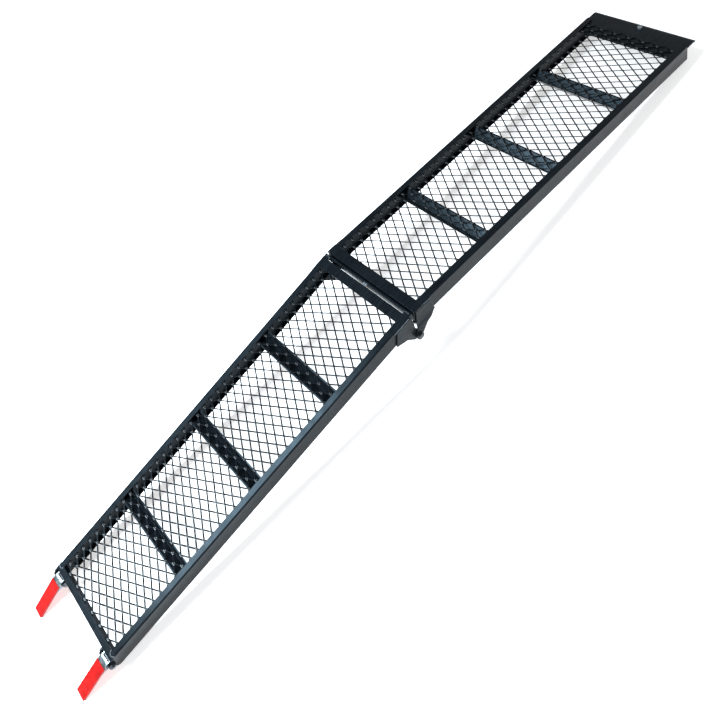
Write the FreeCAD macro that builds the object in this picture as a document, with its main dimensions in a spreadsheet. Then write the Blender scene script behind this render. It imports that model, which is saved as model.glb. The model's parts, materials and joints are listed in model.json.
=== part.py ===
import FreeCAD, Part
import Sketcher
import math
import os

# A folding, arched steel ramp in two hinged sections. Each section is drawn in its own frame:
# X runs along the deck from the hinge line (negative on the finger section), Y goes across
# the ramp and Z = 0 is the top of the rails. The sections are then set leaning together as
# an arch that stands on the floor at Z = 0, with the finger end towards -X.

# ---------------------------------------------------------------- driving dimensions, in mm

dimensions = [
    # overall
    ("rampWidth", 305, "over the outer faces of the rails"),
    ("sectionLength", 1113, "finger section, from its end bar to the hinge line"),
    ("plateLength", 1148, "plate section, from the hinge line to the lip"),
    ("archAngle", 11.5, "angle between the two decks, in degrees"),
    # side rails
    ("railHeight", 60, "height of the channel"),
    ("railWall", 3, "wall of the channel"),
    ("topFlange", 18, "width of the top flange"),
    ("bottomFlange", 12, "width of the bottom flange"),
    ("bendRadius", 4, "outer radius of the channel's bends"),
    ("hingeEndGap", 6.6, "from the hinge line to the ends of the finger section's rails"),
    ("toeSetback", 3, "from the lip back to the toe of the plate section's rails"),
    ("toeRake", 42, "how far the rail's toe reaches past its top"),
    # cross members
    ("barWall", 3, "wall of the end and hinge bars"),
    ("endBarWidth", 18, "top leg of the finger section's end bar"),
    ("endBarDepth", 33, "depth of the end bar"),
    ("hingeBarWidth", 27, "top leg of the finger section's hinge bar"),
    ("hingeBarDepth", 42, "depth of both hinge bars"),
    ("plateBarWidth", 29, "top leg of the plate section's hinge bar"),
    ("stopThickness", 6, "thickness of the stop bar"),
    ("stopDepth", 25, "depth of the stop bar"),
    ("stopRecess", 2, "from the deck down to the stop bar"),
    ("stopSetback", 0.6, "from the hinge line to the stop bar's face"),
    ("stopClearance", 0.3, "gap left where the plate section closes on the stop bar"),
    ("rungLeg", 32, "leg of the angle iron rungs"),
    ("rungWall", 3, "wall of the angle iron rungs"),
    # expanded metal deck
    ("meshThickness", 3, "thickness of the deck mesh"),
    ("meshPitch", 27.8, "diamond pitch along the ramp"),
    ("meshRows", 7, "diamonds across the ramp"),
    ("strandWidth", 3, "width of a strand"),
    ("meshBorder", 2.5, "closed edge of the mesh"),
    ("meshClearance", 0.5, "from the mesh to the rail webs"),
    ("meshLap", 38, "how far the mesh laps over the end plate"),
    # end plate
    ("plateThickness", 4, "thickness of the end plate"),
    ("plateDepth", 100, "length of the end plate along the ramp"),
    ("lipWidth", 10, "turned-down edge of the end plate"),
    ("lipDrop", 3, "drop of the turned-down edge"),
    ("plateBoltInset", 22, "from the lip to the plate bolt"),
    ("plateBoltRadius", 4, "shank of the plate bolt"),
    # gussets and hinge
    ("gussetThickness", 4, "thickness of the hinge gussets"),
    ("gussetTopLength", 58, "gusset along the top of the rail"),
    ("gussetFootLength", 76, "gusset along the bottom of the rail"),
    ("gussetTopInset", 6, "from the rail's top to the gusset"),
    ("gussetTipRadius", 13, "round tip of the gusset"),
    ("gussetHingeInset", 10, "from the hinge line to the gussets"),
    ("gussetWaistLength", 43, "from the hinge line to the bend in the gusset's lower edge"),
    ("gussetWaistDrop", 21, "from the rail down to that bend"),
    ("jogDrop", 3, "from the rail down to the step in the plate section's gusset"),
    ("jogLength", 8, "length of that step"),
    ("hingeDrop", 104, "from the hinge line down to the hinge bolts"),
    ("hingeBoltRadius", 6, "shank of the hinge bolts"),
    # fingers
    ("fingerWidth", 34, "width of a finger"),
    ("fingerLength", 129, "length of a finger's plate"),
    ("fingerThickness", 4, "thickness of a finger"),
    ("fingerRise", 12, "from the pivot up to the finger's top"),
    ("fingerSetback", 5.5, "from the pivot to the near end of the finger's plate"),
    ("fingerFlange", 46, "length of the finger's side flanges"),
    ("fingerSideGap", 1.6, "from a finger to the rail and to the lug"),
    ("gripThickness", 1.2, "coating on the fingers"),
    ("gripStart", 10, "bare length of a finger before the coating"),
    ("earReach", 28, "how far the rail's ear and the lug reach past the end bar"),
    ("earRadius", 12, "rounding of the ear"),
    ("pivotReach", 16, "from the end bar to the finger pivot"),
    ("pivotDrop", 20, "from the deck down to the finger pivot"),
    ("lugThickness", 4, "thickness of the inner lug"),
    ("fingerBoltRadius", 5, "shank of the finger bolts"),
    # fits
    ("runningGap", 0.05, "radial clearance of a turning fit"),
    ("slidingGap", 0.3, "side clearance between parts that move past each other"),
    ("floorGap", 0.2, "from the floor to the finger tips"),
]

doc = FreeCAD.newDocument("FoldingRamp")
sheet = doc.addObject("Spreadsheet::Sheet", "Sizes")
for row, (name, value, note) in enumerate(dimensions, start=1):
    sheet.set(f"A{row}", name)
    sheet.set(f"B{row}", str(value))
    sheet.set(f"C{row}", note)
    sheet.setAlias(f"B{row}", name)
doc.recompute()


class Size:
    """A length that knows its number and the spreadsheet expression that gives it."""

    def __init__(self, number, text=None):
        self.number = float(number)
        self.text = text or repr(float(number))

    def __add__(self, other):
        other = asSize(other)
        return Size(self.number + other.number, f"({self.text} + {other.text})")

    def __sub__(self, other):
        other = asSize(other)
        return Size(self.number - other.number, f"({self.text} - {other.text})")

    def __mul__(self, factor):
        factor = asSize(factor)
        return Size(self.number * factor.number, f"({self.text} * {factor.text})")

    def __truediv__(self, factor):
        factor = asSize(factor)
        return Size(self.number / factor.number, f"({self.text} / {factor.text})")

    def __neg__(self):
        return Size(-self.number, f"(0 - {self.text})")

    __radd__ = __add__
    __rmul__ = __mul__


def asSize(value):
    return value if isinstance(value, Size) else Size(value)


def cell(name):
    return Size(sheet.get(name), f"Sizes.{name}")


def cosine(angle):
    return Size(math.cos(math.radians(angle.number)), f"cos({angle.text} * 1 deg)")


def sine(angle):
    return Size(math.sin(math.radians(angle.number)), f"sin({angle.text} * 1 deg)")


def tangent(angle):
    return Size(math.tan(math.radians(angle.number)), f"tan({angle.text} * 1 deg)")


# ---------------------------------------------------------------- modelling helpers

class Corner:
    """A corner of an outline, rounded where radius isn't None."""

    def __init__(self, across, along, radius=None):
        self.x = asSize(across)
        self.y = asSize(along)
        self.radius = None if radius is None else asSize(radius)
        self.point = FreeCAD.Vector(self.x.number, self.y.number, 0)


def bind(sketch, kind, where, size):
    number = sketch.addConstraint(Sketcher.Constraint(kind, *where, size.number))
    sketch.setExpression(f"Constraints[{number}]", size.text)


def pinPoint(sketch, geometry, end, corner):
    bind(sketch, "DistanceX", (-1, 1, geometry, end), corner.x)
    bind(sketch, "DistanceY", (-1, 1, geometry, end), corner.y)


def tangentPoints(before, corner, after):
    """Where the rounding of a corner starts and ends, and its centre."""
    back = (before.point - corner.point).normalize()
    ahead = (after.point - corner.point).normalize()
    half = back.getAngle(ahead) / 2
    reach = corner.radius.number / math.tan(half)
    middle = (back + ahead).normalize() * (corner.radius.number / math.sin(half))
    return corner.point + back * reach, corner.point + ahead * reach, corner.point + middle


def drawLoop(sketch, corners):
    """A closed outline through the corners, each pinned to the sheet."""
    count = len(corners)
    starts, ends, centres = [], [], []
    for k, corner in enumerate(corners):
        if corner.radius is None:
            first, last, centre = corner.point, corner.point, None
        else:
            first, last, centre = tangentPoints(corners[k - 1], corner, corners[(k + 1) % count])
        starts.append(first)
        ends.append(last)
        centres.append(centre)
    lines = [sketch.addGeometry(Part.LineSegment(ends[k], starts[(k + 1) % count]), False)
             for k in range(count)]
    for k, corner in enumerate(corners):
        before, after = lines[k - 1], lines[k]
        if corner.radius is None:
            sketch.addConstraint(Sketcher.Constraint("Coincident", before, 2, after, 1))
            pinPoint(sketch, after, 1, corner)
            continue
        roundCorner(sketch, before, after, corner, starts[k], ends[k], centres[k])


def roundCorner(sketch, before, after, corner, first, last, centre):
    up = FreeCAD.Vector(0, 0, 1)
    startAngle = math.atan2(first.y - centre.y, first.x - centre.x)
    endAngle = math.atan2(last.y - centre.y, last.x - centre.x)
    turn = (endAngle - startAngle) % (2 * math.pi)
    forward = turn < math.pi
    if not forward:
        startAngle, endAngle = endAngle, startAngle
    if endAngle < startAngle:
        endAngle += 2 * math.pi
    circle = Part.Circle(centre, up, corner.radius.number)
    arc = sketch.addGeometry(Part.ArcOfCircle(circle, startAngle, endAngle), False)
    mark = sketch.addGeometry(Part.Point(corner.point), True)
    pinPoint(sketch, mark, 1, corner)
    sketch.addConstraint(Sketcher.Constraint("PointOnObject", mark, 1, before))
    sketch.addConstraint(Sketcher.Constraint("PointOnObject", mark, 1, after))
    sketch.addConstraint(Sketcher.Constraint("Tangent", before, 2, arc, 1 if forward else 2))
    sketch.addConstraint(Sketcher.Constraint("Tangent", after, 1, arc, 2 if forward else 1))
    bind(sketch, "Radius", (arc,), corner.radius)


def drawCircle(sketch, centre, radius):
    circle = Part.Circle(centre.point, FreeCAD.Vector(0, 0, 1), radius.number)
    number = sketch.addGeometry(circle, False)
    pinPoint(sketch, number, 3, centre)
    bind(sketch, "Radius", (number,), radius)


def newSketch(body, role, offset):
    """A sketch on one of the body's own planes, moved by offset along the plane's normal."""
    sketch = body.newObject("Sketcher::SketchObject", body.Name + "_sketch")
    plane = next(item for item in body.Origin.OriginFeatures if item.Role == role)
    sketch.AttachmentSupport = [(plane, "")]
    sketch.MapMode = "FlatFace"
    sketch.setExpression("AttachmentOffset.Base.z", asSize(offset).text)
    return sketch


def pad(body, role, start, length, loops=(), circles=()):
    sketch = newSketch(body, role, start)
    for loop in loops:
        drawLoop(sketch, loop)
    for centre, radius in circles:
        drawCircle(sketch, centre, radius)
    feature = body.newObject("PartDesign::Pad", body.Name + "_pad")
    feature.Profile = sketch
    feature.setExpression("Length", asSize(length).text)
    doc.recompute()
    return feature


def pocket(body, role, loops=(), circles=()):
    """Cuts the outline right through the body, whichever side of the plane it lies on."""
    volume = body.Shape.Volume
    sketch = newSketch(body, role, 0)
    for loop in loops:
        drawLoop(sketch, loop)
    for centre, radius in circles:
        drawCircle(sketch, centre, radius)
    feature = body.newObject("PartDesign::Pocket", body.Name + "_pocket")
    feature.Profile = sketch
    feature.Type = "ThroughAll"
    feature.SideType = "Symmetric"
    doc.recompute()
    if body.Shape.Volume > volume - 1e-3:
        raise RuntimeError(f"{body.Label}: a pocket cut nothing")
    return feature


def fillet(body, radius, along, places):
    """Rounds the edges that run along one direction through the given places."""
    names = []
    for number, edge in enumerate(body.Shape.Edges, start=1):
        if edge.Curve.TypeId != "Part::GeomLine":
            continue
        if abs(abs(edge.Curve.Direction.dot(along)) - 1) > 1e-6:
            continue
        across = [(edge.CenterOfMass - place).cross(along).Length for place in places]
        if min(across) < 1e-3:
            names.append(f"Edge{number}")
    base = body.Tip
    feature = body.newObject("PartDesign::Fillet", body.Name + "_fillet")
    feature.Base = (base, names)
    feature.setExpression("Radius", asSize(radius).text)
    doc.recompute()
    return feature


parts = []
bodyOf = {}


def keep(item, name, section):
    """Names a finished sub-part and remembers which moving body carries it."""
    item.Label = name
    parts.append(item)
    bodyOf[name] = section
    return item


def newBody(name, section):
    body = doc.addObject("PartDesign::Body", name + "_body")
    return keep(body, name, section)


def corners(*points):
    return [Corner(*point) for point in points]


def rectangle(x1, y1, x2, y2):
    return corners((x1, y1), (x2, y1), (x2, y2), (x1, y2))


def place(item, x, y, z):
    for axis, size in zip("xyz", (x, y, z)):
        item.setExpression(f"Placement.Base.{axis}", asSize(size).text)


AXIS_X = FreeCAD.Vector(1, 0, 0)
AXIS_Y = FreeCAD.Vector(0, 1, 0)
SIDES = (("left", 1), ("right", -1))
# A shade under the full radius, so that a short flat stays between two round corners.
nearlyFull = 0.95

# ---------------------------------------------------------------- sizes shared by the pieces

halfWidth = cell("rampWidth") / 2
wall = cell("railWall")
barWall = cell("barWall")
height = cell("railHeight")
length = cell("sectionLength")
plateEnd = cell("plateLength")
halfArch = cell("archAngle") / 2
insideWidth = cell("rampWidth") - wall * 2
meshBottom = -wall - cell("meshThickness")
endBarBack = -length + cell("endBarWidth")
railHingeEnd = -cell("hingeEndGap")
stopBack = railHingeEnd
stopFace = -cell("stopSetback")
stopFoot = -cell("stopRecess") - cell("stopDepth")
# The plate section's hinge bar meets the stop bar at the stop bar's lower edge.
barFace = (-stopFoot) * tangent(halfArch) * 2 + cell("stopClearance") - cell("stopSetback")
plateRailStart = barFace + barWall
plateBarEnd = barFace + cell("plateBarWidth")
hingeBarFace = stopBack - cell("stopThickness")
hingeBarBack = hingeBarFace - cell("hingeBarWidth")
toeEnd = plateEnd - cell("toeSetback")
railTopEnd = toeEnd - cell("toeRake")
plateStart = plateEnd - cell("plateDepth")
meshEnd = plateStart + cell("meshLap")

# ---------------------------------------------------------------- side rails


def railProfile(side):
    points = [(0, 0), (cell("topFlange"), 0), (cell("topFlange"), -wall), (wall, -wall),
              (wall, -height + wall), (cell("bottomFlange"), -height + wall),
              (cell("bottomFlange"), -height), (0, -height)]
    return [Corner((halfWidth - inward) * side, z) for inward, z in points]


def makeRail(name, section, side, start, end):
    body = newBody(name, section)
    pad(body, "YZ_Plane", start, end - start, [railProfile(side)])
    outer = halfWidth.number * side
    fillet(body, cell("bendRadius"), AXIS_X,
           [FreeCAD.Vector(0, outer, 0), FreeCAD.Vector(0, outer, -height.number)])
    return body


def makeFingerRail(name, side):
    """The web runs on past the end bar as the outer ear of the finger's pivot."""
    ear = -length - cell("earReach")
    spare = cell("earReach")
    radius = cell("earRadius")
    pivotX = -length - cell("pivotReach")
    body = makeRail(name, "finger_section", side, ear, railHingeEnd)
    above = cell("topFlange")
    pocket(body, "XZ_Plane", [corners(
        (ear - spare, above), (endBarBack, above), (endBarBack, -barWall),
        (-length, -barWall), (ear, -cell("pivotDrop") + radius, radius),
        (ear, -height, radius), (-length, -height), (-length, -height - spare),
        (ear - spare, -height - spare))])
    pocket(body, "XZ_Plane", circles=[(Corner(pivotX, -cell("pivotDrop")),
                                       cell("fingerBoltRadius") + cell("runningGap"))])
    # The ear has no bottom flange, so that the finger can swing down past it.
    pocket(body, "XY_Plane", [rectangle(ear - spare, (halfWidth - wall) * side, -length,
                                        (halfWidth - cell("bottomFlange") * 2) * side)])
    return body


def makePlateRail(name, side):
    """The end is raked, with its toe reaching forward under the end plate."""
    body = makeRail(name, "plate_section", side, plateRailStart, toeEnd)
    above = cell("topFlange")
    pocket(body, "XZ_Plane", [corners(
        (railTopEnd, above), (railTopEnd, 0), (toeEnd, -height + wall),
        (toeEnd + above, -height + wall), (toeEnd + above, above))])
    pocket(body, "XZ_Plane", [corners(
        (plateRailStart - above, above), (plateBarEnd, above), (plateBarEnd, -barWall),
        (plateRailStart - above, -barWall))])
    return body


for side, sign in SIDES:
    makeFingerRail(f"finger_section_rail_{side}", sign)
    makePlateRail(f"plate_section_rail_{side}", sign)

# ---------------------------------------------------------------- bars across the sections


def makeBar(name, section, role, start, width, loop):
    body = newBody(name, section)
    pad(body, role, start, width, [loop])
    return body


def makeAngleBar(name, section, back, face, depth, topWidth, legWidth, top=0):
    """A top leg from back to face and a leg down at the face, each with its own width."""
    thick = barWall if face.number < back.number else -barWall
    under = asSize(top) - barWall
    body = newBody(name, section)
    pad(body, "XZ_Plane", -topWidth / 2, topWidth, [rectangle(back, top, face, under)])
    pad(body, "XZ_Plane", -legWidth / 2, legWidth,
        [rectangle(face + thick, under, face, under - depth)])
    return body


legDepth = cell("endBarDepth") - barWall
hingeLegDepth = cell("hingeBarDepth") - barWall
makeAngleBar("finger_section_end_bar", "finger_section", endBarBack, -length,
             legDepth, cell("rampWidth"), insideWidth)
makeAngleBar("finger_section_hinge_bar", "finger_section", hingeBarBack, hingeBarFace,
             hingeLegDepth, cell("rampWidth") - cell("topFlange") * 2, insideWidth)
makeAngleBar("plate_section_hinge_bar", "plate_section", plateBarEnd, barFace,
             hingeLegDepth, cell("rampWidth"), cell("rampWidth"))
makeBar("hinge_stop_bar", "finger_section", "XZ_Plane", -halfWidth, cell("rampWidth"),
        rectangle(stopBack, -cell("stopRecess"), stopFace, stopFoot))


def makeRung(name, section, centre):
    """An angle iron with its corner down and the edges of both legs under the mesh."""
    leg, thick = cell("rungLeg"), cell("rungWall")
    slant = math.sqrt(0.5)
    body = newBody(name, section)
    down = meshBottom
    reach = leg * slant
    step = thick * slant
    pad(body, "XZ_Plane", -insideWidth / 2, insideWidth, [corners(
        (centre - reach, down), (centre - reach + step * 2, down),
        (centre, down - reach + step * 2), (centre + reach - step * 2, down),
        (centre + reach, down), (centre, down - reach))])
    return body


rungPitch = length / 4
for number in (1, 2, 3):
    makeRung(f"finger_section_rung_{number}", "finger_section", -length + rungPitch * number)
    makeRung(f"plate_section_rung_{number}", "plate_section", rungPitch * number)

# ---------------------------------------------------------------- expanded metal deck


def makeMesh(name, section, start, end):
    """A sheet with rows of diamond holes, every other row set over by half a diamond."""
    width = insideWidth.number - 2 * sheet.get("meshClearance")
    pitch, rows = sheet.get("meshPitch"), int(sheet.get("meshRows"))
    strand, border = sheet.get("strandWidth"), sheet.get("meshBorder")
    rise = width / rows
    slope = math.hypot(pitch, rise)
    holeX = pitch / 2 - strand * slope / rise / 2
    holeY = rise / 2 - strand * slope / pitch / 2
    low, high = start.number, end.number
    columns = int((high - low - 2 * border) // pitch)
    first = (low + high - columns * pitch) / 2 + pitch / 2
    # The sheet is drawn at its own height, because its Placement is set later on.
    bottom = meshBottom.number
    outline = Part.makePolygon([FreeCAD.Vector(x, y, bottom) for x, y in (
        (low, -width / 2), (high, -width / 2), (high, width / 2), (low, width / 2),
        (low, -width / 2))])
    centres = [(first + i * pitch, (j + 0.5) * rise - width / 2)
               for i in range(columns) for j in range(rows)]
    centres += [(first + (i + 0.5) * pitch, (j + 1) * rise - width / 2)
                for i in range(columns - 1) for j in range(rows - 1)]
    holes = []
    for x, y in centres:
        holes.append(Part.makePolygon([FreeCAD.Vector(x + dx, y + dy, bottom) for dx, dy in (
            (-holeX, 0), (0, holeY), (holeX, 0), (0, -holeY), (-holeX, 0))]))
    face = Part.Face([outline] + holes)
    face.validate()
    solid = face.extrude(FreeCAD.Vector(0, 0, sheet.get("meshThickness")))
    item = doc.addObject("Part::Feature", name + "_sheet")
    item.Shape = solid
    return keep(item, name, section)


makeMesh("finger_section_mesh", "finger_section", -length + barWall, hingeBarFace - barWall)
makeMesh("plate_section_mesh", "plate_section", plateRailStart, meshEnd)

# ---------------------------------------------------------------- end plate and its end bar


def makeEndPlate():
    """Lies under the mesh between the rails and over the full width past their ends."""
    top, thick = meshBottom, cell("plateThickness")
    foot = top - thick
    lip, drop = plateEnd - cell("lipWidth"), cell("lipDrop")
    body = newBody("end_plate", "plate_section")
    pad(body, "XZ_Plane", -halfWidth, cell("rampWidth"), [corners(
        (plateStart, top), (lip, top), (plateEnd, top - drop), (plateEnd, foot - drop),
        (lip, foot), (plateStart, foot))])
    rakeAtFoot = railTopEnd + cell("toeRake") * (-foot) / (height - wall)
    notch = rakeAtFoot + cell("slidingGap")
    for sign in (1, -1):
        pocket(body, "XY_Plane", [rectangle(
            plateStart - wall, (halfWidth - wall) * sign, notch, (halfWidth + wall) * sign)])
    pocket(body, "XY_Plane", circles=[(Corner(plateEnd - cell("plateBoltInset"), 0),
                                       cell("plateBoltRadius") + cell("runningGap"))])
    return body


makeEndPlate()
plateFoot = meshBottom - cell("plateThickness")
makeAngleBar("plate_section_end_bar", "plate_section", railTopEnd - cell("endBarWidth"),
             railTopEnd, legDepth, insideWidth, insideWidth, plateFoot)

# ---------------------------------------------------------------- hinge gussets

# The hinge bolts lie under the hinge line, on the line that halves the arch.
pinX = cell("hingeDrop") * sine(halfArch)
pinZ = -cell("hingeDrop") * cosine(halfArch)
hingeHole = cell("hingeBoltRadius") + cell("runningGap")
gusset = cell("gussetThickness")
lapOffset = gusset + cell("slidingGap")


def gussetOutline(toward):
    """The outline on the side of the hinge line that toward (1 or -1) points to."""
    tip = cell("gussetTipRadius")
    rounding = tip * nearlyFull
    return [Corner(x * toward, z, radius) for x, z, radius in (
        (cell("gussetTopLength"), -cell("gussetTopInset"), None),
        (cell("gussetHingeInset"), -cell("gussetTopInset"), None),
        (cell("gussetHingeInset"), -height - cell("gussetTopInset"), None),
        (pinX - tip, pinZ - tip, rounding),
        (pinX + tip, pinZ - tip, rounding),
        (cell("gussetWaistLength"), -height - cell("gussetWaistDrop"), None),
        (cell("gussetFootLength"), -height, None))]


def outward(sign, inner, outer):
    """Start and thickness, for the XZ plane, of a plate between two places beside the rail."""
    low, high = (inner, outer) if sign > 0 else (-outer, -inner)
    return -high, high - low


for side, sign in SIDES:
    body = newBody(f"finger_section_gusset_{side}", "finger_section")
    start, thick = outward(sign, halfWidth, halfWidth + gusset)
    pad(body, "XZ_Plane", start, thick, [gussetOutline(-1)])
    pocket(body, "XZ_Plane", circles=[(Corner(-pinX, pinZ), hingeHole)])

    # The plate section's gusset steps outwards under the rail, to lap the flat one.
    body = newBody(f"plate_section_gusset_{side}", "plate_section")
    top, bottom = -cell("gussetTopInset"), pinZ - cell("gussetTipRadius")
    jogTop = -height - cell("jogDrop")
    jogEnd = jogTop - cell("jogLength")
    step = [(0, top), (gusset, top), (gusset, jogTop), (lapOffset + gusset, jogEnd),
            (lapOffset + gusset, bottom), (lapOffset, bottom), (lapOffset, jogEnd), (0, jogTop)]
    pad(body, "YZ_Plane", -cell("gussetTipRadius"), cell("gussetFootLength") * 2,
        [[Corner((halfWidth + out) * sign, z) for out, z in step]])
    far = cell("gussetFootLength") * 3
    pocket(body, "XZ_Plane", [rectangle(-far, -far, far, far), gussetOutline(1)])
    pocket(body, "XZ_Plane", circles=[(Corner(pinX, pinZ), hingeHole)])

# ---------------------------------------------------------------- finger pivots and fingers

pivotX = -length - cell("pivotReach")
pivotZ = -cell("pivotDrop")
fingerHole = cell("fingerBoltRadius") + cell("runningGap")
fingerOuter = halfWidth - wall - cell("fingerSideGap")
fingerMiddle = fingerOuter - cell("fingerWidth") / 2
lugOuter = fingerOuter - cell("fingerWidth") - cell("fingerSideGap")
lugInner = lugOuter - cell("lugThickness")


def makeLug(name, sign):
    """The inner ear, welded to the front of the end bar."""
    radius = cell("earRadius")
    front = -length - cell("earReach")
    body = newBody(name, "finger_section")
    start, thick = outward(sign, lugInner, lugOuter)
    pad(body, "XZ_Plane", start, thick, [corners(
        (-length, pivotZ + radius), (front, pivotZ + radius, radius * nearlyFull),
        (front, pivotZ - radius, radius * nearlyFull), (-length, pivotZ - radius))])
    pocket(body, "XZ_Plane", circles=[(Corner(pivotX, pivotZ), fingerHole)])


def makeFingerShape(name):
    """A flat plate with two tapered side flanges, drawn about its own pivot."""
    width, thick, rise = cell("fingerWidth"), cell("fingerThickness"), cell("fingerRise")
    near = -cell("fingerSetback")
    far = near - cell("fingerLength")
    heel = cell("fingerBoltRadius") + thick
    body = doc.addObject("PartDesign::Body", name)
    pad(body, "XZ_Plane", -width / 2, width, [corners(
        (near, rise), (far, rise), (far, rise - thick),
        (near - cell("fingerFlange"), rise - thick), (-heel, -heel, thick), (heel, -heel, heel * nearlyFull),
        (heel, thick))])
    pocket(body, "YZ_Plane", [rectangle(
        thick - width / 2, -heel - thick, width / 2 - thick, rise - thick)])
    pocket(body, "XZ_Plane", circles=[(Corner(0, 0), fingerHole)])
    return body


def makeGrip(name, section, core):
    """A dipped coating: a block round the plate, less the finger inside it."""
    coat = cell("gripThickness")
    bare = cell("gripStart")
    block = doc.addObject("Part::Box", name + "_block")
    block.setExpression("Length", (cell("fingerLength") - bare + coat).text)
    block.setExpression("Width", (cell("fingerWidth") + coat * 2).text)
    block.setExpression("Height", (cell("fingerThickness") + coat * 2).text)
    place(block, -cell("fingerSetback") - cell("fingerLength") - coat,
          -cell("fingerWidth") / 2 - coat, cell("fingerRise") - cell("fingerThickness") - coat)
    cut = doc.addObject("Part::Cut", name + "_coating")
    cut.Base = block
    cut.Tool = core
    return keep(cut, name, section)


for side, sign in SIDES:
    makeLug(f"finger_lug_{side}", sign)
    keep(makeFingerShape(f"finger_{side}_body"), f"finger_{side}", f"finger_{side}")
    makeGrip(f"finger_grip_{side}", f"finger_{side}", makeFingerShape(f"finger_{side}_core"))

# ---------------------------------------------------------------- bolts and nuts

# Set upright in the section's frame for now: the shank of a bolt and the thickness of a nut
# run along their own +Z, and ownPlace turns each to its place. The sizes of heads, nuts and
# thread ends are shares of the shank's radius.
ownPlace = {}
headAcross, headHeight, nutHeight, threadSpare = 1.85, 1.3, 1.6, 0.4


def hexagon(name, radius, thickness):
    item = doc.addObject("Part::Prism", name)
    item.Polygon = 6
    item.setExpression("Circumradius", (radius * headAcross).text)
    item.setExpression("Height", (radius * thickness).text)
    return item


def rod(name, radius, reach):
    item = doc.addObject("Part::Cylinder", name)
    item.setExpression("Radius", radius.text)
    item.setExpression("Height", reach.text)
    return item


def turned(x, y, z, pointing):
    """A place with the item's own +Z pointing along +Y, -Y or -Z."""
    angle = {"+Y": -90, "-Y": 90, "-Z": 180}[pointing]
    spot = FreeCAD.Vector(asSize(x).number, asSize(y).number, asSize(z).number)
    return FreeCAD.Placement(spot, FreeCAD.Rotation(AXIS_X, angle))


def makeBolt(name, section, radius, grip, where):
    """The head's underside is at the place given; grip is what the bolt and nut clamp."""
    head = hexagon(name + "_head", radius, headHeight)
    place(head, 0, 0, -radius * headHeight)
    shank = rod(name + "_shank", radius, grip + radius * (nutHeight + threadSpare))
    item = doc.addObject("Part::MultiFuse", name + "_whole")
    item.Shapes = [head, shank]
    ownPlace[name] = where
    return keep(item, name, section)


def makeNut(name, section, radius, where):
    item = doc.addObject("Part::Cut", name + "_whole")
    item.Base = hexagon(name + "_hexagon", radius, nutHeight)
    item.Tool = rod(name + "_bore", radius + cell("runningGap"), radius * nutHeight)
    ownPlace[name] = where
    return keep(item, name, section)


for side, sign in SIDES:
    inwards, outwards = ("-Y", "+Y") if sign > 0 else ("+Y", "-Y")
    headFace = halfWidth + lapOffset + gusset + cell("slidingGap")
    makeBolt(f"hinge_bolt_{side}", "finger_section", cell("hingeBoltRadius"),
             headFace - halfWidth, turned(-pinX, headFace * sign, pinZ, inwards))
    makeNut(f"hinge_nut_{side}", "finger_section", cell("hingeBoltRadius"),
            turned(-pinX, halfWidth * sign, pinZ, inwards))
    makeBolt(f"finger_bolt_{side}", "finger_section", cell("fingerBoltRadius"),
             halfWidth - lugInner, turned(pivotX, lugInner * sign, pivotZ, outwards))
    makeNut(f"finger_nut_{side}", "finger_section", cell("fingerBoltRadius"),
            turned(pivotX, halfWidth * sign, pivotZ, outwards))

plateBoltX = plateEnd - cell("plateBoltInset")
makeBolt("end_plate_bolt", "plate_section", cell("plateBoltRadius"), cell("plateThickness"),
         turned(plateBoltX, 0, meshBottom, "-Z"))
makeNut("end_plate_nut", "plate_section", cell("plateBoltRadius"),
        turned(plateBoltX, 0, plateFoot, "-Z"))

# ---------------------------------------------------------------- the arch on the floor


def level(x, z, tilt):
    """Height of a section's point once the section is turned by tilt about the hinge line."""
    return z * math.cos(tilt) - x * math.sin(tilt)


def railFeet(lean):
    """Heights of the lowest points of the finger section's and the plate section's rails."""
    radius = cell("earRadius").number
    heel = level(-length.number - cell("earReach").number + radius, radius - height.number,
                 lean - slope) - radius
    return heel, level(toeEnd.number, -height.number, lean + slope)


slope = math.radians(halfArch.number)
leanLow, leanHigh = -0.1, 0.1
for _ in range(60):
    lean = (leanLow + leanHigh) / 2
    heelLevel, toeLevel = railFeet(lean)
    if heelLevel > toeLevel:
        leanHigh = lean
    else:
        leanLow = lean
floorLevel = min(railFeet(lean))

# Each finger hangs from its pivot until its tip rests on the floor.
tipReach = sum(sheet.get(name) for name in ("fingerSetback", "fingerLength", "gripThickness"))
tipRise = (cell("fingerRise") - cell("fingerThickness") - cell("gripThickness")).number
pivotHeight = level(pivotX.number, pivotZ.number, lean - slope) - floorLevel
hang = math.asin((pivotHeight - sheet.get("floorGap")) / math.hypot(tipReach, tipRise))
fingerTilt = -(hang + math.atan2(tipRise, tipReach))


def turnY(angle):
    return FreeCAD.Placement(FreeCAD.Vector(), FreeCAD.Rotation(AXIS_Y, math.degrees(angle)))


def shift(x, y, z):
    return FreeCAD.Placement(FreeCAD.Vector(x, y, z), FreeCAD.Rotation())


doc.recompute()
sectionPlace = {"finger_section": turnY(lean - slope), "plate_section": turnY(lean + slope)}
for side, sign in SIDES:
    pivot = FreeCAD.Vector(pivotX.number, fingerMiddle.number * sign, pivotZ.number)
    spot = sectionPlace["finger_section"].multVec(pivot)
    sectionPlace[f"finger_{side}"] = shift(*spot) * turnY(fingerTilt)
for item in parts:
    own = ownPlace.get(item.Label, FreeCAD.Placement())
    item.Placement = sectionPlace[bodyOf[item.Label]] * own
doc.recompute()

# The origin goes to the middle of the footprint, at floor level.
boxes = [item.Shape.BoundBox for item in parts]
middleX = (min(box.XMin for box in boxes) + max(box.XMax for box in boxes)) / 2
toOrigin = shift(-middleX, 0, -floorLevel)
for item in parts:
    item.Placement = toOrigin * item.Placement
doc.recompute()

hingePoint = toOrigin.multVec(sectionPlace["finger_section"].multVec(
    FreeCAD.Vector(-pinX.number, 0, pinZ.number)))
fingerPivots = {side: toOrigin.multVec(sectionPlace[f"finger_{side}"].Base) for side, _ in SIDES}

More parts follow.
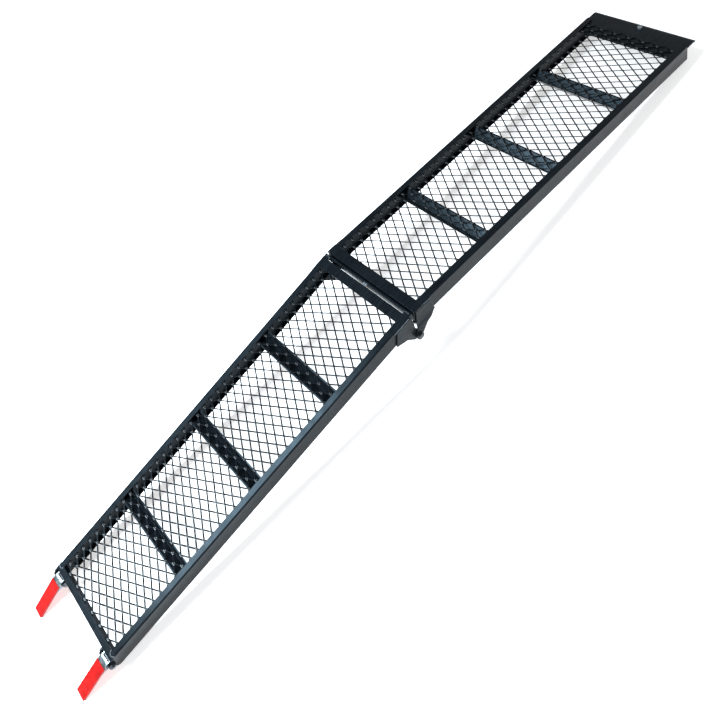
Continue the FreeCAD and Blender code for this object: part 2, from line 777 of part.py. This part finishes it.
# ---------------------------------------------------------------- check and write

for item in doc.Objects:
    if {"Invalid", "Error"} & set(item.State):
        raise RuntimeError(f"{item.Name} failed: {item.State}")
os.makedirs("parts", exist_ok=True)
for item in parts:
    shape = item.Shape
    if shape.isNull() or not shape.isValid() or not shape.Solids:
        raise RuntimeError(f"{item.Label} has no valid solid")
    shape.exportStep(f"parts/{item.Label}.step")
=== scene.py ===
import json
import math

import bmesh
import bpy
from mathutils import Matrix, Quaternion, Vector


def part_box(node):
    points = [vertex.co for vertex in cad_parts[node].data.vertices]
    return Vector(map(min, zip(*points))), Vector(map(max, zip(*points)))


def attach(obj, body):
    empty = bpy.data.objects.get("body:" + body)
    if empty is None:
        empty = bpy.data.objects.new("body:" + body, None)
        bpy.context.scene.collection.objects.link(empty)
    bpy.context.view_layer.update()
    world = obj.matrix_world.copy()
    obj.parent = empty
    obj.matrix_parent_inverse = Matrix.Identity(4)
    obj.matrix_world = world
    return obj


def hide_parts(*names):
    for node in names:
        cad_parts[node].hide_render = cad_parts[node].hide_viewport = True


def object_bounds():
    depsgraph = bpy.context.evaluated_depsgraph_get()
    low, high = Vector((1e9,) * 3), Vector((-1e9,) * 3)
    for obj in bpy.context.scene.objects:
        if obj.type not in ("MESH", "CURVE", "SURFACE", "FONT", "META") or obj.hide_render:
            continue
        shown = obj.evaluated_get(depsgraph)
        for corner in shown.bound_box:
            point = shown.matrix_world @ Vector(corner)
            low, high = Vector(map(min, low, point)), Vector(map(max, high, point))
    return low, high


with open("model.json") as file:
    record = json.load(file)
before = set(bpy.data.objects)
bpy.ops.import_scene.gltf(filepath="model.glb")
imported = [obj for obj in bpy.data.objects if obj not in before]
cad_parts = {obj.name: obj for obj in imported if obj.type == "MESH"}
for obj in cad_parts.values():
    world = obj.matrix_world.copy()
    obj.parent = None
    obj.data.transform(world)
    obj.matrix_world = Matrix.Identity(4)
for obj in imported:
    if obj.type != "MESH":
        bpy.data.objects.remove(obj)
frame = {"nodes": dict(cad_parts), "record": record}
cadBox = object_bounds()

# A folding arched ramp of black powder coated steel, with an expanded metal deck and
# two red dipped fingers. All lengths are in metres.
print("frame loaded")

slotOf = {entry["node"]: entry["material_slot"] for entry in frame["record"]["subparts"]}
bodies = frame["record"]["behaviour"]["bodies"]
sides = {"left": 1, "right": -1}


# a face counts as the top of its piece when it points this far up
topFace = {"upwards": 0.9, "digits": 5}


def deckLean(node):
    # how far a flat-topped piece leans along the ramp, from its largest upward face
    area = {}
    for face in frame["nodes"][node].data.polygons:
        if face.normal.z > topFace["upwards"]:
            lean = round(math.atan2(face.normal.x, face.normal.z), topFace["digits"])
            area[lean] = area.get(lean, 0) + face.area
    return max(area, key=area.get)


# pieces are shaped level, along X, and then turned to the lean of their section
turn = {
    "finger_section": Matrix.Rotation(deckLean("finger_section_end_bar"), 4, "Y"),
    "plate_section": Matrix.Rotation(deckLean("plate_section_hinge_bar"), 4, "Y"),
}


def span(node, section):
    # lowest and highest corner of a node once its section is laid level
    level = turn[section].inverted()
    points = [level @ vertex.co for vertex in frame["nodes"][node].data.vertices]
    low = Vector([min(point[axis] for point in points) for axis in range(3)])
    high = Vector([max(point[axis] for point in points) for axis in range(3)])
    return low, high


# the middle of a noise's range, which its tones and its values are stretched over
noiseRange = {"tone": (0.35, 0.65), "value": (0.3, 0.7)}


def newTree(name):
    material = bpy.data.materials.new(name)
    material.use_nodes = True
    tree = material.node_tree
    place = tree.nodes.new("ShaderNodeTexCoord").outputs["Object"]
    return material, tree, tree.nodes["Principled BSDF"], place


def addNoise(tree, place, scale, detail=4, stretch=(1, 1, 1)):
    mapping = tree.nodes.new("ShaderNodeMapping")
    mapping.inputs["Scale"].default_value = stretch
    tree.links.new(place, mapping.inputs["Vector"])
    noise = tree.nodes.new("ShaderNodeTexNoise")
    noise.inputs["Scale"].default_value = scale
    noise.inputs["Detail"].default_value = detail
    tree.links.new(mapping.outputs["Vector"], noise.inputs["Vector"])
    return noise.outputs["Fac"]


def blendColours(tree, factor, dark, light):
    ramp = tree.nodes.new("ShaderNodeValToRGB")
    ramp.color_ramp.elements[0].position = noiseRange["tone"][0]
    ramp.color_ramp.elements[1].position = noiseRange["tone"][1]
    ramp.color_ramp.elements[0].color = (*dark, 1)
    ramp.color_ramp.elements[1].color = (*light, 1)
    tree.links.new(factor, ramp.inputs["Fac"])
    return ramp.outputs["Color"]


def mixColours(tree, factor, first, second):
    mix = tree.nodes.new("ShaderNodeMix")
    mix.data_type = "RGBA"
    tree.links.new(factor, mix.inputs["Factor"])
    tree.links.new(first, mix.inputs["A"])
    mix.inputs["B"].default_value = (*second, 1)
    return mix.outputs["Result"]


def spread(tree, factor, low, high):
    limits = tree.nodes.new("ShaderNodeMapRange")
    limits.inputs["From Min"].default_value = noiseRange["value"][0]
    limits.inputs["From Max"].default_value = noiseRange["value"][1]
    limits.inputs["To Min"].default_value = low
    limits.inputs["To Max"].default_value = high
    tree.links.new(factor, limits.inputs["Value"])
    return limits.outputs["Result"]


def addBump(tree, shader, height, depth, strength):
    bump = tree.nodes.new("ShaderNodeBump")
    bump.inputs["Distance"].default_value = depth
    bump.inputs["Strength"].default_value = strength
    tree.links.new(height, bump.inputs["Height"])
    tree.links.new(bump.outputs["Normal"], shader.inputs["Normal"])


# powder coat: orange peel, slow changes of tone and a few rubbed streaks along the ramp
powder = {"streakDetail": 6, "streakStretch": (1, 9, 9), "glossScale": 5,
          "peelDetail": 2, "bump": 0.5}


def powderCoat(name, look):
    material, tree, shader, place = newTree(name)
    tone = blendColours(tree, addNoise(tree, place, look["patch"]), look["dark"], look["light"])
    rubbing = addNoise(tree, place, look["streak"], powder["streakDetail"],
                       powder["streakStretch"])
    streak = spread(tree, rubbing, 0, look["rub"])
    colour = mixColours(tree, streak, tone, look["rubbed"])
    tree.links.new(colour, shader.inputs["Base Color"])
    gloss = spread(tree, addNoise(tree, place, look["patch"] * powder["glossScale"]),
                   *look["roughness"])
    tree.links.new(gloss, shader.inputs["Roughness"])
    shader.inputs["Specular IOR Level"].default_value = look["specular"]
    shader.inputs["Specular Tint"].default_value = (*look["sheen"], 1)
    addBump(tree, shader, addNoise(tree, place, look["peel"], powder["peelDetail"]),
            look["peelDepth"], powder["bump"])
    return material


# bare or plated steel, with the faint grain of the plating
plating = {"grainDetail": 6, "dentScale": 4, "dentDetail": 3, "bump": 0.4}


def platedSteel(name, look):
    material, tree, shader, place = newTree(name)
    grain = addNoise(tree, place, look["grain"], plating["grainDetail"])
    colour = blendColours(tree, grain, look["dark"], look["light"])
    tree.links.new(colour, shader.inputs["Base Color"])
    tree.links.new(spread(tree, grain, *look["roughness"]), shader.inputs["Roughness"])
    shader.inputs["Metallic"].default_value = 1
    dents = addNoise(tree, place, look["grain"] * plating["dentScale"], plating["dentDetail"])
    addBump(tree, shader, dents, look["depth"], plating["bump"])
    return material


# dipped coating: soft waves where it ran, and a fine skin
dip = {"runDetail": 3, "skinDetail": 3, "coatRoughness": 0.2, "bump": 0.5}


def dippedCoating(name, look):
    material, tree, shader, place = newTree(name)
    run = addNoise(tree, place, look["wave"], dip["runDetail"])
    colour = blendColours(tree, run, look["dark"], look["light"])
    tree.links.new(colour, shader.inputs["Base Color"])
    tree.links.new(spread(tree, run, *look["roughness"]), shader.inputs["Roughness"])
    shader.inputs["Specular IOR Level"].default_value = look["specular"]
    shader.inputs["Coat Weight"].default_value = look["coat"]
    shader.inputs["Coat Roughness"].default_value = dip["coatRoughness"]
    addBump(tree, shader, addNoise(tree, place, look["skin"], dip["skinDetail"]),
            look["depth"], dip["bump"])
    return material


finishes = {
    "frame_paint": powderCoat("framePaint", {
        "dark": (0.0016, 0.0022, 0.0030), "light": (0.0045, 0.0065, 0.0085),
        "rubbed": (0.016, 0.022, 0.028), "sheen": (0.62, 0.84, 1.0),
        "patch": 7, "streak": 22, "rub": 0.30, "roughness": (0.24, 0.34), "specular": 0.11,
        "peel": 900, "peelDepth": 0.00010}),
    "deck_mesh": powderCoat("deckPaint", {
        "dark": (0.0012, 0.0015, 0.0020), "light": (0.0035, 0.0045, 0.0055),
        "rubbed": (0.018, 0.021, 0.024), "sheen": (0.75, 0.90, 1.0),
        "patch": 30, "streak": 40, "rub": 0.35, "roughness": (0.36, 0.50), "specular": 0.07,
        "peel": 1100, "peelDepth": 0.00008}),
    "black_hardware": powderCoat("boltFinish", {
        "dark": (0.005, 0.006, 0.007), "light": (0.012, 0.013, 0.015),
        "rubbed": (0.07, 0.07, 0.075), "sheen": (0.85, 0.93, 1.0),
        "patch": 90, "streak": 160, "rub": 0.5, "roughness": (0.24, 0.40), "specular": 0.45,
        "peel": 1600, "peelDepth": 0.00005}),
    "finger_steel": platedSteel("fingerSteel", {
        "dark": (0.12, 0.15, 0.16), "light": (0.30, 0.34, 0.36), "grain": 130,
        "roughness": (0.30, 0.48), "depth": 0.00005}),
    "zinc_hardware": platedSteel("zincBolt", {
        "dark": (0.36, 0.42, 0.48), "light": (0.56, 0.62, 0.68), "grain": 260,
        "roughness": (0.25, 0.42), "depth": 0.00004}),
    "grip_coating": dippedCoating("redCoating", {
        "dark": (0.34, 0.002, 0.0015), "light": (0.50, 0.005, 0.003), "wave": 45, "skin": 420,
        "roughness": (0.34, 0.46), "specular": 0.10, "coat": 0.04, "depth": 0.00010}),
}
# weld metal coloured lighter than the steel beside it, a painted highlight for the light the
# rounded beads catch
weldPaintedHighlight = powderCoat("weldPaintedHighlight", {
    "dark": (0.020, 0.026, 0.032), "light": (0.070, 0.085, 0.100),
    "rubbed": (0.20, 0.23, 0.26), "sheen": (0.85, 0.94, 1.0),
    "patch": 160, "streak": 220, "rub": 0.6, "roughness": (0.20, 0.34), "specular": 0.6,
    "peel": 1400, "peelDepth": 0.00008})
# the bonds stand highest, and their lighter colour is a painted highlight where their tops catch
# the light
bondPaintedHighlight = powderCoat("bondPaintedHighlight", {
    "dark": (0.016, 0.019, 0.022), "light": (0.075, 0.085, 0.095),
    "rubbed": (0.16, 0.17, 0.18), "sheen": (0.9, 0.96, 1.0),
    "patch": 120, "streak": 200, "rub": 0.5, "roughness": (0.26, 0.42), "specular": 0.4,
    "peel": 1400, "peelDepth": 0.00006})
print("finishes made")


def asMesh(shape, name):
    mesh = bpy.data.meshes.new(name)
    shape.to_mesh(mesh)
    shape.free()
    return mesh


def finishPiece(shape, name, body, material, node=None):
    mesh = asMesh(shape, name)
    mesh.materials.append(material)
    piece = bpy.data.objects.new(name, mesh)
    bpy.context.collection.objects.link(piece)
    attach(piece, body)
    if node:
        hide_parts(node)
    return piece


def smoothFaces(piece):
    for face in piece.data.polygons:
        face.use_smooth = True


def smoothShade(piece):
    # large flats keep their own normals, and only the rounded edges blend
    smoothFaces(piece)
    weighted = piece.modifiers.new("flats", "WEIGHTED_NORMAL")
    weighted.keep_sharp = True


# rolled, sheared and cut edges: every hard corner of the steel is slightly broken
edgeBreak = {
    "frame_paint": 0.0006, "black_hardware": 0.0004, "zinc_hardware": 0.0004,
    "finger_steel": 0.0005, "grip_coating": 0.0011,
    "segments": 2, "sharpFrom": math.radians(35), "flatWithin": math.radians(0.4),
    "merge": 0.000005,
}


def brokenEdges(node):
    shape = bmesh.new()
    shape.from_mesh(frame["nodes"][node].data)
    bmesh.ops.remove_doubles(shape, verts=shape.verts, dist=edgeBreak["merge"])
    bmesh.ops.dissolve_limit(shape, angle_limit=edgeBreak["flatWithin"],
                             verts=shape.verts, edges=shape.edges)
    hard = [edge for edge in shape.edges if len(edge.link_faces) == 2
            and edge.calc_face_angle() > edgeBreak["sharpFrom"]]
    bmesh.ops.bevel(shape, geom=hard, offset=edgeBreak[slotOf[node]], offset_type="OFFSET",
                    segments=edgeBreak["segments"], profile=0.5, affect="EDGES",
                    clamp_overlap=True, material=-1)
    return shape


# the turns of thread that show past a nut, from the nut's face to the end of the shank
thread = {"pitch": 0.00125, "depth": 0.0007, "taper": 0.3, "segments": 28,
          "radius": {"hinge": 0.006, "finger": 0.005}}


def cutThread(shape, centre, radius, start, end):
    along = 1 if end > start else -1
    facing = Matrix.Rotation(math.radians(-90 * along), 4, "X")
    taper = thread["depth"] * thread["taper"]
    for step in range(int(abs(end - start) / thread["pitch"])):
        middle = start + along * thread["pitch"] * (step + 0.5)
        place = Matrix.Translation((centre.x, middle, centre.z)) @ facing
        bmesh.ops.create_cone(shape, cap_ends=True, segments=thread["segments"],
                              radius1=radius + taper, radius2=radius - taper,
                              depth=thread["pitch"], matrix=place)


for body, nodes in bodies.items():
    for node in nodes:
        slot = slotOf[node]
        if slot == "deck_mesh":
            continue
        shape = brokenEdges(node)
        smoothShade(finishPiece(shape, node + "_steel", body, finishes[slot], node))
print("steel pieces made")

# expanded metal: strands lean over between the bonds where they cross
deckMesh = {
    "pitch": 0.0278, "rows": 7, "border": 0.0025, "spareColumns": 2,
    "strandWidth": 0.0038, "strandThick": 0.0014, "lean": math.radians(24),
    "bondLength": 0.0080, "bondWidth": 0.0060, "bondLean": math.radians(14), "edge": 0.0003,
}


def bar(shape, middle, size, heading, lean, finish=0):
    place = (Matrix.Translation(middle) @ Matrix.Rotation(heading, 4, "Z")
             @ Matrix.Rotation(lean, 4, "X") @ Matrix.Diagonal((*size, 1)))
    made = bmesh.ops.create_cube(shape, size=1, matrix=place)
    edges = {edge for vertex in made["verts"] for edge in vertex.link_edges}
    for face in {face for vertex in made["verts"] for face in vertex.link_faces}:
        face.material_index = finish
    bmesh.ops.bevel(shape, geom=list(edges), offset=deckMesh["edge"], offset_type="OFFSET",
                    segments=1, profile=0.5, affect="EDGES", clamp_overlap=True, material=-1)


def oneDiamond(pitch, rise):
    # the four strands round a diamond, with the bond at its one end and its one side
    shape = bmesh.new()
    reach = math.hypot(pitch, rise) / 2
    for alongSign in (1, -1):
        for acrossSign in (1, -1):
            heading = math.atan2(acrossSign * rise, -alongSign * pitch)
            middle = (alongSign * pitch / 4, acrossSign * rise / 4, 0)
            size = (reach, deckMesh["strandWidth"], deckMesh["strandThick"])
            bar(shape, middle, size, heading, math.copysign(deckMesh["lean"], math.sin(heading)))
    bondSize = (deckMesh["bondLength"], deckMesh["bondWidth"], deckMesh["strandThick"])
    for middle in ((pitch / 2, 0, 0), (0, rise / 2, 0)):
        bar(shape, middle, bondSize, math.radians(90), deckMesh["bondLean"], finish=1)
    return asMesh(shape, "diamond")


def makeDeckMesh(node, section):
    low, high = span(node, section)
    pitch, rows = deckMesh["pitch"], deckMesh["rows"]
    rise = (high.y - low.y) / rows
    columns = int((high.x - low.x - deckMesh["border"] * 2) // pitch)
    first = (low.x + high.x - columns * pitch + pitch) / 2 - pitch
    cell = oneDiamond(pitch, rise)
    shape = bmesh.new()
    height = (low.z + high.z) / 2
    for column in range(columns + deckMesh["spareColumns"]):
        for row in range(rows):
            place = Vector((first + column * pitch, low.y + (row + 0.5) * rise, height))
            cell.transform(Matrix.Translation(place))
            shape.from_mesh(cell)
            cell.transform(Matrix.Translation(-place))
    # the outer diamonds reach past the sheet, so the sheared edges trim them
    cuts = ((low, (0, -1, 0)), (high, (0, 1, 0)), (low, (-1, 0, 0)), (high, (1, 0, 0)))
    for corner, outward in cuts:
        bmesh.ops.bisect_plane(shape, geom=shape.verts[:] + shape.edges[:] + shape.faces[:],
                               plane_co=corner, plane_no=outward, clear_outer=True)
    openEdges = [edge for edge in shape.edges if edge.is_boundary]
    bmesh.ops.holes_fill(shape, edges=openEdges, sides=0)
    bmesh.ops.transform(shape, matrix=turn[section], verts=shape.verts)
    bpy.data.meshes.remove(cell)
    strands = finishPiece(shape, node + "_strands", section,
                          finishes["deck_mesh"], node)
    # the bonds take the lighter finish, a painted highlight on their tops
    strands.data.materials.append(bondPaintedHighlight)  # second in the list, for the bonds


makeDeckMesh("finger_section_mesh", "finger_section")
makeDeckMesh("plate_section_mesh", "plate_section")
print("expanded metal made")

# welds: runs of small overlapping beads, drawn level and turned with their section
weld = {
    "pitch": 0.0022, "radius": 0.0021, "squash": 0.55, "around": 8, "rings": 5,
    "gussetInset": 0.012, "gussetStandOff": 0.0012, "gussetShare": 0.8,
    "rungStandOff": 0.001, "rungTop": 0.002, "rungFoot": 0.001,
}


def bead(shape, middle, radius, squash=weld["squash"]):
    place = Matrix.Translation(middle) @ Matrix.Diagonal((1, 1, squash, 1))
    bmesh.ops.create_uvsphere(shape, u_segments=weld["around"], v_segments=weld["rings"],
                              radius=radius, matrix=place)


def beadRun(shape, points, radius):
    for start, end in zip(points, points[1:]):
        steps = max(1, round((end - start).length / weld["pitch"]))
        for step in range(steps):
            bead(shape, start.lerp(end, step / steps), radius)


def finishWelds(shape, name, section):
    bmesh.ops.transform(shape, matrix=turn[section], verts=shape.verts)
    # the weld finish is coloured lighter than the frame, a painted highlight on the beads
    smoothFaces(finishPiece(shape, name, section, weldPaintedHighlight))


for section in turn:
    shape = bmesh.new()
    for side, sign in sides.items():
        low, high = span(f"{section}_gusset_{side}", section)
        railLow, railHigh = span(f"{section}_rail_{side}", section)
        outer = railHigh.y if sign > 0 else railLow.y
        seam = outer + sign * weld["gussetStandOff"]
        beadRun(shape, [Vector((low.x + weld["gussetInset"], seam, high.z)),
                        Vector((high.x - weld["gussetInset"], seam, high.z))],
                weld["radius"] * weld["gussetShare"])
        # each rung is welded to the webs where it meets them
        for number in (1, 2, 3):
            rungLow, rungHigh = span(f"{section}_rung_{number}", section)
            inner = rungHigh.y if sign > 0 else rungLow.y
            seam = inner - sign * weld["rungStandOff"]
            middle = (rungLow.x + rungHigh.x) / 2
            for x in (rungLow.x, rungHigh.x):
                beadRun(shape, [Vector((x, seam, rungHigh.z - weld["rungTop"])),
                                Vector((middle, seam, rungLow.z + weld["rungFoot"]))],
                        weld["radius"])
    finishWelds(shape, section + "_welds", section)

# the rails' flanges end in a rounded weld on the end bar
cornerWeld = {"radius": 0.0085, "bulge": 0.0016, "steps": 9, "inset": 0.001}
shape = bmesh.new()
barHigh = span("finger_section_end_bar", "finger_section")[1]
angles = [math.pi * step / cornerWeld["steps"] for step in range(cornerWeld["steps"] + 1)]
for sign in sides.values():
    across = sign * (barHigh.y - cornerWeld["radius"] - cornerWeld["inset"])
    centre = Vector((barHigh.x, across, barHigh.z))
    arc = [centre + Vector((-math.sin(angle), math.cos(angle), 0)) * cornerWeld["radius"]
           for angle in angles]
    beadRun(shape, arc, cornerWeld["bulge"])
finishWelds(shape, "end_bar_welds", "finger_section")

# tacks hold the stop bar at its middle and its two ends; their light colour is a painted
# highlight
tack = {"radius": 0.0042, "squash": 0.4, "inset": 0.012, "pair": (-0.004, 0.003),
        "standOff": 0.001}
shape = bmesh.new()
stopLow, stopHigh = span("hinge_stop_bar", "finger_section")
for across in (0, stopHigh.y - tack["inset"], stopLow.y + tack["inset"]):
    for shift in tack["pair"]:
        place = Vector((stopLow.x - tack["standOff"], across + shift, stopHigh.z))
        bead(shape, place, tack["radius"], tack["squash"])
finishWelds(shape, "stop_bar_tacks", "finger_section")
print("welds made")

# the thread ends of the bolts that lie across the ramp
for name, radius in thread["radius"].items():
    for side, sign in sides.items():
        boltLow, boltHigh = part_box(f"{name}_bolt_{side}")
        nutLow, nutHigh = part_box(f"{name}_nut_{side}")
        centre = (Vector(boltLow) + Vector(boltHigh)) / 2
        outwards = (nutLow[1] + nutHigh[1]) / 2 * sign > centre.y * sign
        if outwards == (sign > 0):
            start, end = nutHigh[1], boltHigh[1]
        else:
            start, end = nutLow[1], boltLow[1]
        shape = bmesh.new()
        cutThread(shape, centre, radius, start, end)
        finishPiece(shape, f"{name}_bolt_{side}_thread", "finger_section",
                    finishes["black_hardware"])
print("threads made")

# floor, light and camera
studio = {
    "floor": (0.92, 0.92, 0.92), "floorSize": 14, "floorDrop": 0.0003, "floorGlow": 0.5,
    "floorRoughness": 0.9, "paperPatch": 3, "paperShade": 0.98, "ambient": 0.40,
}
lights = {
    "key": {"place": (-1.26, 0.73, 1.88), "aim": (-0.5, -0.14, 0.13), "size": (1.8, 0.5),
            "power": 125, "colour": (0.80, 0.92, 1.0)},
    "edge": {"place": (-0.60, -1.95, 1.30), "aim": (-0.3, -0.15, 0.15), "size": (2.8, 0.2),
             "power": 16, "colour": (0.92, 0.97, 1.0)},
}

shape = bmesh.new()
bmesh.ops.create_grid(shape, x_segments=1, y_segments=1, size=studio["floorSize"] / 2,
                      matrix=Matrix.Translation((0, 0, cadBox[0].z - studio["floorDrop"])))
floorMesh = asMesh(shape, "floor")
floorFinish, floorTree, floorShader, floorPlace = newTree("floorFinish")
paper = blendColours(floorTree, addNoise(floorTree, floorPlace, studio["paperPatch"]),
                     [value * studio["paperShade"] for value in studio["floor"]],
                     studio["floor"])
floorTree.links.new(paper, floorShader.inputs["Base Color"])
floorShader.inputs["Roughness"].default_value = studio["floorRoughness"]
floorShader.inputs["Emission Color"].default_value = (1, 1, 1, 1)
floorShader.inputs["Emission Strength"].default_value = studio["floorGlow"]
floorMesh.materials.append(floorFinish)
floor = bpy.data.objects.new("floor", floorMesh)
bpy.context.collection.objects.link(floor)

world = bpy.data.worlds.new("studioWorld")
world.use_nodes = True
world.node_tree.nodes["Background"].inputs["Color"].default_value = (1, 1, 1, 1)
world.node_tree.nodes["Background"].inputs["Strength"].default_value = studio["ambient"]
bpy.context.scene.world = world

for name, look in lights.items():
    softBox = bpy.data.lights.new(name + "Light", "AREA")
    softBox.shape = "RECTANGLE"
    softBox.size, softBox.size_y = look["size"]
    softBox.energy = look["power"]
    softBox.color = look["colour"]
    lamp = bpy.data.objects.new(name + "Light", softBox)
    lamp.location = look["place"]
    # the long side of each soft box lies along the ramp
    back = (Vector(look["place"]) - Vector(look["aim"])).normalized()
    lengthways = (Vector((1, 0, 0)) - back * back.x).normalized()
    axes = Matrix((lengthways, back.cross(lengthways), back)).transposed()
    lamp.rotation_euler = axes.to_euler()
    bpy.context.collection.objects.link(lamp)

bpy.context.scene.view_settings.view_transform = "Standard"  # the backdrop stays white

view = {"place": (-0.2764, -0.6334, 1.1769), "aim": (-0.1949, -0.1236, 0.1),
        "roll": math.radians(-38.465), "lens": 24.25, "shift": (0.0213, 0.0546)}
lens = bpy.data.cameras.new("camera")
lens.lens = view["lens"]
lens.shift_x, lens.shift_y = view["shift"]
camera = bpy.data.objects.new("camera", lens)
camera.location = view["place"]
looking = (Vector(view["aim"]) - Vector(view["place"])).to_track_quat("-Z", "Y")
camera.rotation_euler = (looking @ Quaternion((0, 0, 1), view["roll"])).to_euler()
bpy.context.collection.objects.link(camera)
bpy.context.scene.camera = camera
print("studio ready")
